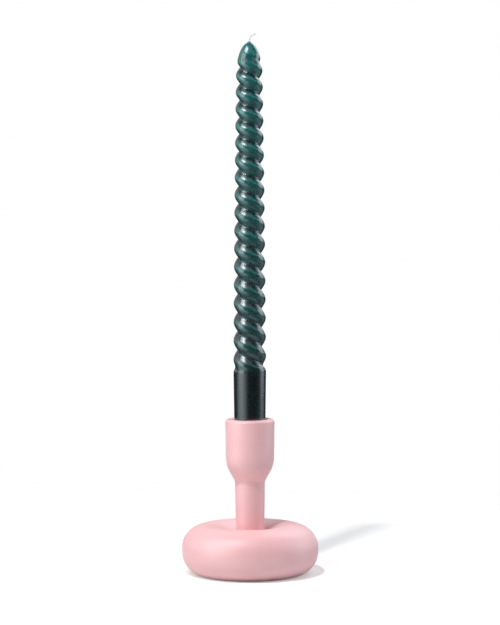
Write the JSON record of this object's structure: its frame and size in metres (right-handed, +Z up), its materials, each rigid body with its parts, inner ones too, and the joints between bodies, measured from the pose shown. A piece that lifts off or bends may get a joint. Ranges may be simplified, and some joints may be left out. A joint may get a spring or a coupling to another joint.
{
  "type": "candle holder",
  "caption": "Free-standing candle holder with a round ring base, a short stem and a thick cup, holding a tall twisted taper candle.",
  "frame": {"origin": "on the table, under the middle of the ring, on the axis of the stem", "axes": "+Z up along the stem and the candle; -Y is the side that the picture shows; the wick leans to +X"},
  "size_m": [0.0962, 0.0962, 0.3795],
  "materials": {
    "powder_coat": "matt pink powder coat with a very fine texture",
    "zinc_steel": "zinc-plated steel",
    "spring_steel": "darkened spring steel",
    "ballast_iron": "rough as-cast",
    "bush_brass": "turned brass",
    "felt": "pressed wool felt",
    "green_wax": "glossy lacquered wax, deep green",
    "wick_cotton": "braided waxed cotton"
  },
  "bodies": {
    "holder": {"base_shell": "powder_coat", "bottom_pan": "zinc_steel", "ballast_ring": "ballast_iron", "felt_pad": "felt", "stem_tube": "powder_coat", "centring_bush": "bush_brass", "cup": "powder_coat", "tie_rod": "zinc_steel", "flat_washer": "zinc_steel", "lock_washer": "spring_steel", "rod_nut": "zinc_steel"},
    "candle": {"candle_body": "green_wax", "candle_wick": "wick_cotton"}
  },
  "joints": [
    {"name": "candle_lift", "type": "slide", "parent": "holder", "child": "candle", "axis": [0, 0, 1], "range_m": [0, 0.035]}
  ]
}
